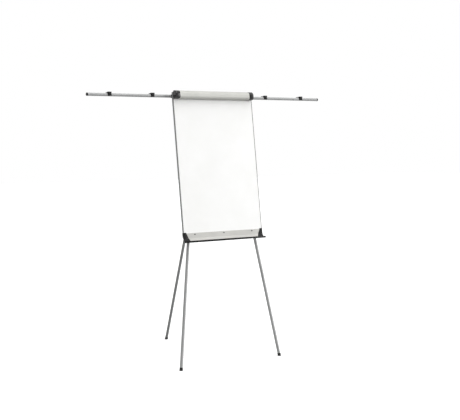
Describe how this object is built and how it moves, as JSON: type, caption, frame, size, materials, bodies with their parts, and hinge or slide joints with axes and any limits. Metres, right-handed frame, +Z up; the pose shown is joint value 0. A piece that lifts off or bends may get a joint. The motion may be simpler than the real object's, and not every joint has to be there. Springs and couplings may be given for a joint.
{
  "type": "flipchart easel",
  "caption": "Folding tripod flipchart easel: white board with hinged clamp bar, pen tray, swing-out side arms with sheet clips, and telescopic legs with locks.",
  "frame": {"origin": "on the floor, in the middle of the easel's footprint", "axes": "+X across the board to the right of someone facing it, +Y back towards the rear leg, +Z up"},
  "size_m": [2, 1.0402, 1.9981],
  "materials": {
    "chipboard": "raw edge, hidden in the trims",
    "white_lacquered_steel": "gloss white dry-wipe lacquer",
    "galvanised_steel": "galvanised sheet",
    "anodised_aluminium": "satin silver anodised extrusion",
    "arm_aluminium": "satin anodised drawn tube",
    "leg_aluminium": "grey satin powder coat on aluminium tube",
    "black_plastic": "moulded, fine grain",
    "black_rubber": "matt",
    "zinc_plated_steel": "zinc plated"
  },
  "bodies": {
    "board": {"board_core": "chipboard", "board_face_sheet": "white_lacquered_steel", "board_back_sheet": "galvanised_steel", "board_side_trim_left": "anodised_aluminium", "board_side_trim_right": "anodised_aluminium", "board_top_trim": "anodised_aluminium", "clamp_base_rail": "anodised_aluminium", "clamp_hinge_pins": "zinc_plated_steel", "pen_tray": "anodised_aluminium", "tray_end_cap_left": "black_plastic", "tray_end_cap_right": "black_plastic", "tray_lip_rail": "black_plastic", "tray_screws": "zinc_plated_steel", "leg_hub": "black_plastic", "front_leg_pivot_bolts": "zinc_plated_steel", "rear_leg_pivot_bolt": "zinc_plated_steel", "arm_bracket_left": "black_plastic", "arm_bracket_right": "black_plastic", "arm_pivot_bolts": "zinc_plated_steel", "board_screws": "zinc_plated_steel", "leg_guides": "black_plastic"},
    "clamp": {"clamp_bar": "anodised_aluminium", "clamp_end_cap_left": "black_plastic", "clamp_end_cap_right": "black_plastic", "clamp_grip_strip": "black_rubber"},
    "peg_left": {"pad_peg_left": "black_plastic"},
    "peg_right": {"pad_peg_right": "black_plastic"},
    "arm_left": {"arm_knuckle_left": "black_plastic", "arm_tube_left": "arm_aluminium", "arm_plug_left": "black_plastic"},
    "clip_left_inner": {"clip_saddle_left_inner": "black_plastic"},
    "clip_left_inner_lever": {"clip_lever_left_inner": "black_plastic"},
    "clip_left_outer": {"clip_saddle_left_outer": "black_plastic"},
    "clip_left_outer_lever": {"clip_lever_left_outer": "black_plastic"},
    "arm_right": {"arm_knuckle_right": "black_plastic", "arm_tube_right": "arm_aluminium", "arm_plug_right": "black_plastic"},
    "clip_right_inner": {"clip_saddle_right_inner": "black_plastic"},
    "clip_right_inner_lever": {"clip_lever_right_inner": "black_plastic"},
    "clip_right_outer": {"clip_saddle_right_outer": "black_plastic"},
    "clip_right_outer_lever": {"clip_lever_right_outer": "black_plastic"},
    "front_leg_left": {"front_leg_left_fitting": "black_plastic", "front_leg_left_upper_tube": "leg_aluminium", "front_leg_left_lock_collar": "black_plastic"},
    "front_leg_left_lower": {"front_leg_left_lower_tube": "leg_aluminium", "front_leg_left_foot": "black_rubber"},
    "front_leg_left_lever": {"front_leg_left_lock_lever": "black_plastic"},
    "front_leg_right": {"front_leg_right_fitting": "black_plastic", "front_leg_right_upper_tube": "leg_aluminium", "front_leg_right_lock_collar": "black_plastic"},
    "front_leg_right_lower": {"front_leg_right_lower_tube": "leg_aluminium", "front_leg_right_foot": "black_rubber"},
    "front_leg_right_lever": {"front_leg_right_lock_lever": "black_plastic"},
    "rear_leg": {"rear_leg_fitting": "black_plastic", "rear_leg_upper_tube": "leg_aluminium", "rear_leg_lock_collar": "black_plastic"},
    "rear_leg_lower": {"rear_leg_lower_tube": "leg_aluminium", "rear_leg_foot": "black_rubber"},
    "rear_leg_lever": {"rear_leg_lock_lever": "black_plastic"}
  },
  "joints": [
    {"name": "clamp_open", "type": "hinge", "parent": "board", "child": "clamp", "pos_m": [0, -0.26884, 1.98865], "axis": [-1, 0, 0], "range_deg": [0, 75], "stiffness_Nm_per_rad": 0.4, "springref_deg": -51.57},
    {"name": "peg_left_slide", "type": "slide", "parent": "board", "child": "peg_left", "axis": [1, 0, 0], "range_m": [-0.08, 0.08]},
    {"name": "peg_right_slide", "type": "slide", "parent": "board", "child": "peg_right", "axis": [1, 0, 0], "range_m": [-0.08, 0.08]},
    {"name": "arm_left_swing", "type": "hinge", "parent": "board", "child": "arm_left", "pos_m": [-0.3, -0.22938, 1.95685], "axis": [0, -0.9903, 0.1392], "range_deg": [0, 90]},
    {"name": "clip_left_inner_slide", "type": "slide", "parent": "arm_left", "child": "clip_left_inner", "axis": [-1, 0, 0], "range_m": [-0.1, 0.1]},
    {"name": "clip_left_inner_press", "type": "hinge", "parent": "clip_left_inner", "child": "clip_left_inner_lever", "pos_m": [-0.49, -0.22705, 1.97344], "axis": [-1, 0, 0], "range_deg": [0, 12], "stiffness_Nm_per_rad": 0.15, "springref_deg": -20.05},
    {"name": "clip_left_outer_slide", "type": "slide", "parent": "arm_left", "child": "clip_left_outer", "axis": [-1, 0, 0], "range_m": [-0.1, 0.1]},
    {"name": "clip_left_outer_press", "type": "hinge", "parent": "clip_left_outer", "child": "clip_left_outer_lever", "pos_m": [-0.828, -0.22705, 1.97344], "axis": [-1, 0, 0], "range_deg": [0, 12], "stiffness_Nm_per_rad": 0.15, "springref_deg": -20.05},
    {"name": "arm_right_swing", "type": "hinge", "parent": "board", "child": "arm_right", "pos_m": [0.3, -0.22938, 1.95685], "axis": [0, 0.9903, -0.1392], "range_deg": [0, 90]},
    {"name": "clip_right_inner_slide", "type": "slide", "parent": "arm_right", "child": "clip_right_inner", "axis": [1, 0, 0], "range_m": [-0.1, 0.1]},
    {"name": "clip_right_inner_press", "type": "hinge", "parent": "clip_right_inner", "child": "clip_right_inner_lever", "pos_m": [0.49, -0.22705, 1.97344], "axis": [-1, 0, 0], "range_deg": [0, 12], "stiffness_Nm_per_rad": 0.15, "springref_deg": -20.05},
    {"name": "clip_right_outer_slide", "type": "slide", "parent": "arm_right", "child": "clip_right_outer", "axis": [1, 0, 0], "range_m": [-0.1, 0.1]},
    {"name": "clip_right_outer_press", "type": "hinge", "parent": "clip_right_outer", "child": "clip_right_outer_lever", "pos_m": [0.828, -0.22705, 1.97344], "axis": [-1, 0, 0], "range_deg": [0, 12], "stiffness_Nm_per_rad": 0.15, "springref_deg": -20.05},
    {"name": "front_leg_left_fold", "type": "hinge", "parent": "board", "child": "front_leg_left", "pos_m": [-0.133, -0.23945, 1.90676], "axis": [0, -0.9903, 0.1392], "range_deg": [0, 8.7]},
    {"name": "front_leg_left_height", "type": "slide", "parent": "front_leg_left", "child": "front_leg_left_lower", "axis": [0.1513, 0.1376, 0.9789], "range_m": [0, 0.6]},
    {"name": "front_leg_left_lock", "type": "hinge", "parent": "front_leg_left", "child": "front_leg_left_lever", "pos_m": [-0.27322, -0.34321, 0.99601], "axis": [0.9885, -0.0211, -0.1498], "range_deg": [0, 100]},
    {"name": "front_leg_right_fold", "type": "hinge", "parent": "board", "child": "front_leg_right", "pos_m": [0.133, -0.23945, 1.90676], "axis": [0, 0.9903, -0.1392], "range_deg": [0, 8.7]},
    {"name": "front_leg_right_height", "type": "slide", "parent": "front_leg_right", "child": "front_leg_right_lower", "axis": [-0.1513, 0.1376, 0.9789], "range_m": [0, 0.6]},
    {"name": "front_leg_right_lock", "type": "hinge", "parent": "front_leg_right", "child": "front_leg_right_lever", "pos_m": [0.27322, -0.34321, 0.99601], "axis": [0.9885, 0.0211, 0.1498], "range_deg": [0, 100]},
    {"name": "rear_leg_fold", "type": "hinge", "parent": "board", "child": "rear_leg", "pos_m": [0, -0.2085, 1.88272], "axis": [-1, 0, 0], "range_deg": [0, 28.8]},
    {"name": "rear_leg_height", "type": "slide", "parent": "rear_leg", "child": "rear_leg_lower", "axis": [0, -0.3551, 0.9348], "range_m": [0, 0.6]},
    {"name": "rear_leg_lock", "type": "hinge", "parent": "rear_leg", "child": "rear_leg_lever", "pos_m": [0, 0.14312, 1.02466], "axis": [1, 0, 0], "range_deg": [0, 100]}
  ]
}
